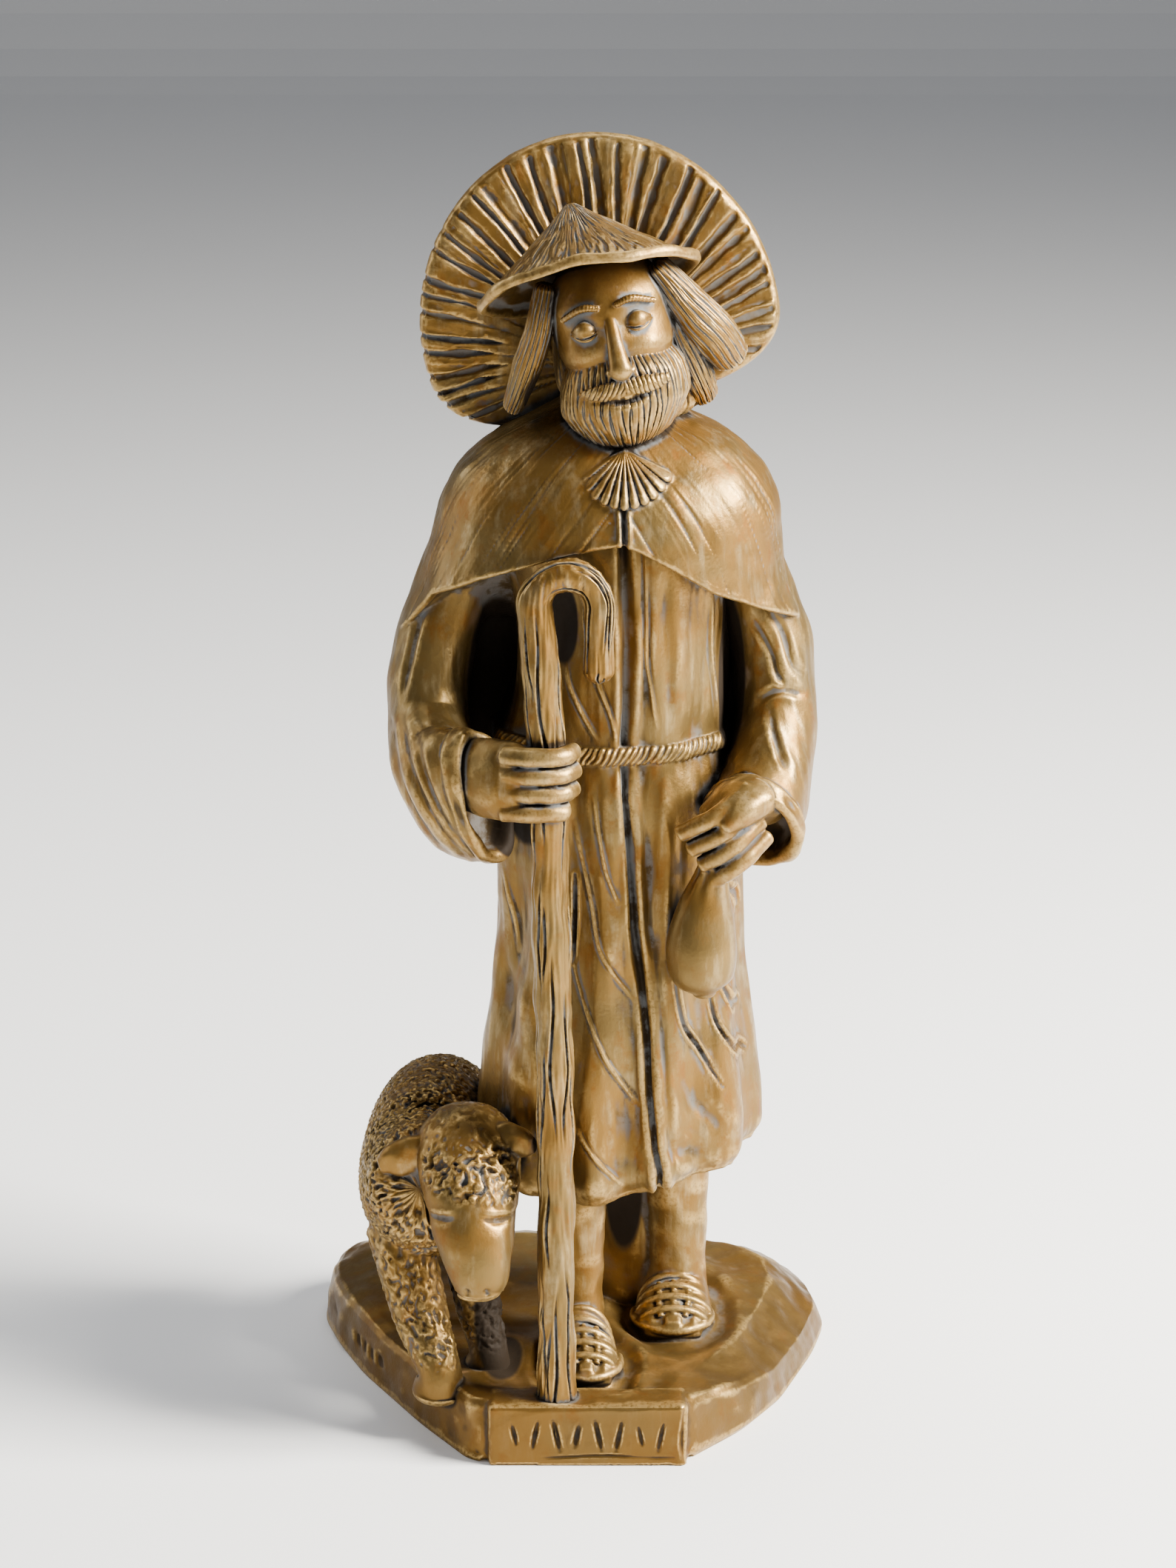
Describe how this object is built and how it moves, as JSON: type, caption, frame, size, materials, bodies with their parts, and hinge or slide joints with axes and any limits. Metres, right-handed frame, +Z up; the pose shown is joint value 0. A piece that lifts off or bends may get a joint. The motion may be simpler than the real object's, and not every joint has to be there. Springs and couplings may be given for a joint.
{
  "type": "saint statue",
  "caption": "Standing figure of a bearded pilgrim saint with halo, hat, cape, crook and pouch, and a lamb beside it, on its own low ground.",
  "frame": {"origin": "on the table under the middle of the base", "axes": "+Z up, the figure faces -Y, +X to the viewer's right"},
  "size_m": [0.1376, 0.1156, 0.3297],
  "materials": {
    "bronzed_clay": "modelled clay with a satin bronze-coloured coat, gold on the raised edges, dark and blue-grey in the recesses"
  },
  "bodies": {
    "root": {"statue": "bronzed_clay"}
  },
  "joints": []
}
